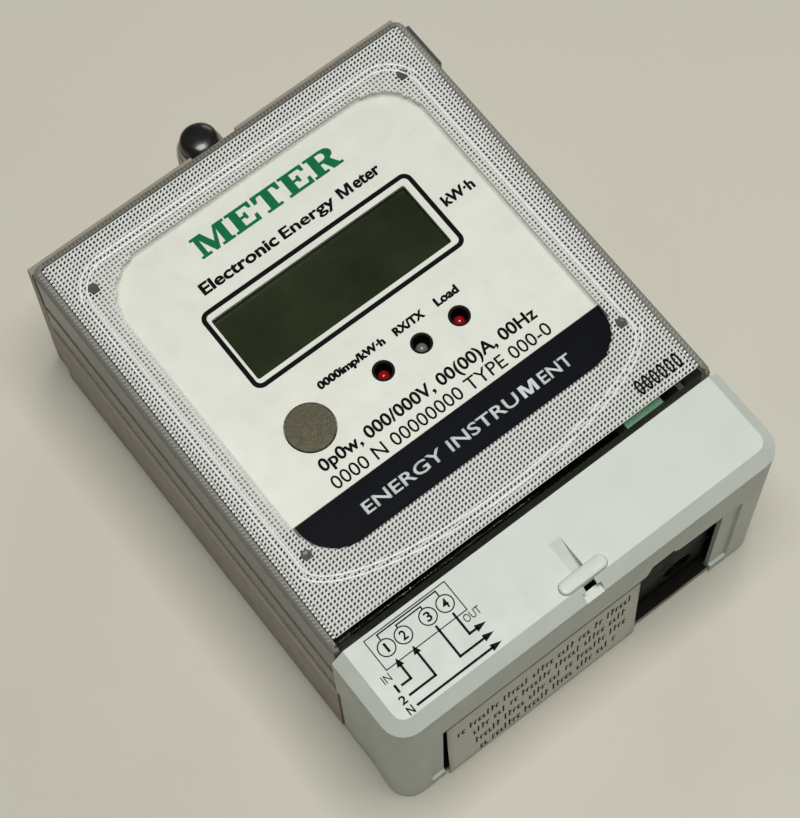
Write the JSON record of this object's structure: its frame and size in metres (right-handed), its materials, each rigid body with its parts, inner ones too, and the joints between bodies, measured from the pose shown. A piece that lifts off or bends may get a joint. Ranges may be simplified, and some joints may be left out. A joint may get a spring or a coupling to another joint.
{
  "type": "smart electric meter",
  "caption": "Single-phase electronic energy meter with a clear sealed cover, a printed face with a dark display, and a lift-off terminal cover with a wire opening.",
  "frame": {"origin": "on the flat back of the base, midway across its width and 72.9 mm up from the front wall of the terminal cover", "axes": "+X along the reading direction of the face, +Y towards the sealed top end, +Z out of the face"},
  "size_m": [0.1122, 0.1601, 0.0662],
  "materials": {
    "taupe_plastic": "fine grained moulding",
    "clear_plastic": "clear, with a knurled field round a smooth window",
    "pale_plastic": "fine spark-eroded grain",
    "white_plate": "printed, satin",
    "white_plastic": "plain moulding",
    "black_plastic": "moulded, satin",
    "black_rubber": "smooth",
    "brass": "machined",
    "copper": "bare copper strap",
    "zinc_steel": "zinc plated",
    "probe_steel": "dull",
    "display_glass": "dark display, no segments lit",
    "red_lens": "dark red lens",
    "grey_lens": "smoky lens",
    "circuit_board": "solder mask",
    "green_plastic": "moulded",
    "chip_resin": "moulded resin",
    "blue_resin": "dipped resin",
    "card_paper": "printed card, lines greeked"
  },
  "bodies": {
    "meter": {"base": "taupe_plastic", "clear_cover": "clear_plastic", "clock_battery": "zinc_steel", "cover_gasket": "black_rubber", "cover_switch": "black_plastic", "current_link_inner": "copper", "current_link_outer": "copper", "current_transformer_inner": "blue_resin", "current_transformer_outer": "blue_resin", "display_backlight": "white_plastic", "display_glass": "display_glass", "display_holder": "white_plastic", "film_capacitor": "grey_lens", "load_indicator": "red_lens", "main_board": "circuit_board", "metering_chip": "chip_resin", "nameplate": "white_plate", "nameplate_screw_1": "zinc_steel", "nameplate_screw_2": "zinc_steel", "nameplate_screw_3": "zinc_steel", "nameplate_screw_4": "zinc_steel", "optical_port_indicator": "grey_lens", "optical_probe_disc": "probe_steel", "panel_frame": "white_plastic", "processor_chip": "chip_resin", "pulse_indicator": "red_lens", "pulse_output_terminal": "green_plastic", "reservoir_capacitor": "chip_resin", "seal_tongue": "pale_plastic", "supply_transformer": "zinc_steel", "surge_varistor": "blue_resin", "terminal_1": "brass", "terminal_2": "brass", "terminal_3": "brass", "terminal_4": "brass", "terminal_block": "black_plastic", "wiring_card": "card_paper"},
    "terminal_screw_1_1": {"terminal_screw_1_1": "zinc_steel"},
    "terminal_screw_1_2": {"terminal_screw_1_2": "zinc_steel"},
    "terminal_screw_2_1": {"terminal_screw_2_1": "zinc_steel"},
    "terminal_screw_2_2": {"terminal_screw_2_2": "zinc_steel"},
    "terminal_screw_3_1": {"terminal_screw_3_1": "zinc_steel"},
    "terminal_screw_3_2": {"terminal_screw_3_2": "zinc_steel"},
    "terminal_screw_4_1": {"terminal_screw_4_1": "zinc_steel"},
    "terminal_screw_4_2": {"terminal_screw_4_2": "zinc_steel"},
    "cover_screw_left": {"cover_screw_left": "zinc_steel"},
    "cover_screw_right": {"cover_screw_right": "zinc_steel"},
    "cover_seal_screw": {"cover_seal_screw": "black_rubber"},
    "switch_plunger": {"switch_plunger": "pale_plastic"},
    "hanger_plate": {"hanger_plate": "zinc_steel"},
    "terminal_cover": {"terminal_cover": "pale_plastic"}
  },
  "joints": [
    {"name": "terminal_cover_lift", "type": "slide", "parent": "meter", "child": "terminal_cover", "axis": [0, 0, 1], "range_m": [0, 0.07]},
    {"name": "terminal_screw_1_1_turn", "type": "hinge", "parent": "meter", "child": "terminal_screw_1_1", "pos_m": [-0.032, -0.062, 0.0198], "axis": [0, 0, 1], "range_deg": [-1350, 0]},
    {"name": "terminal_screw_1_2_turn", "type": "hinge", "parent": "meter", "child": "terminal_screw_1_2", "pos_m": [-0.032, -0.0515, 0.0198], "axis": [0, 0, 1], "range_deg": [-1350, 0]},
    {"name": "terminal_screw_2_1_turn", "type": "hinge", "parent": "meter", "child": "terminal_screw_2_1", "pos_m": [-0.012, -0.062, 0.0198], "axis": [0, 0, 1], "range_deg": [-1350, 0]},
    {"name": "terminal_screw_2_2_turn", "type": "hinge", "parent": "meter", "child": "terminal_screw_2_2", "pos_m": [-0.012, -0.0515, 0.0198], "axis": [0, 0, 1], "range_deg": [-1350, 0]},
    {"name": "terminal_screw_3_1_turn", "type": "hinge", "parent": "meter", "child": "terminal_screw_3_1", "pos_m": [0.012, -0.062, 0.0198], "axis": [0, 0, 1], "range_deg": [-1350, 0]},
    {"name": "terminal_screw_3_2_turn", "type": "hinge", "parent": "meter", "child": "terminal_screw_3_2", "pos_m": [0.012, -0.0515, 0.0198], "axis": [0, 0, 1], "range_deg": [-1350, 0]},
    {"name": "terminal_screw_4_1_turn", "type": "hinge", "parent": "meter", "child": "terminal_screw_4_1", "pos_m": [0.032, -0.062, 0.0198], "axis": [0, 0, 1], "range_deg": [-1350, 0]},
    {"name": "terminal_screw_4_2_turn", "type": "hinge", "parent": "meter", "child": "terminal_screw_4_2", "pos_m": [0.032, -0.0515, 0.0198], "axis": [0, 0, 1], "range_deg": [-1350, 0]},
    {"name": "cover_screw_left_turn", "type": "hinge", "parent": "meter", "child": "cover_screw_left", "pos_m": [-0.047, -0.052, 0.0364], "axis": [0, 0, 1], "range_deg": [0, 1710]},
    {"name": "cover_screw_right_turn", "type": "hinge", "parent": "meter", "child": "cover_screw_right", "pos_m": [0.047, -0.052, 0.0364], "axis": [0, 0, 1], "range_deg": [0, 1710]},
    {"name": "cover_seal_screw_turn", "type": "hinge", "parent": "meter", "child": "cover_seal_screw", "pos_m": [0, 0.0804, 0.0478], "axis": [0, 0, 1], "range_deg": [0, 1710]},
    {"name": "switch_plunger_press", "type": "slide", "parent": "meter", "child": "switch_plunger", "axis": [0, 0, 1], "range_m": [-0.0025, 0], "stiffness_N_per_m": 400, "springref_m": 0.001},
    {"name": "hanger_plate_slide", "type": "slide", "parent": "meter", "child": "hanger_plate", "axis": [0, 1, 0], "range_m": [0, 0.012]}
  ]
}
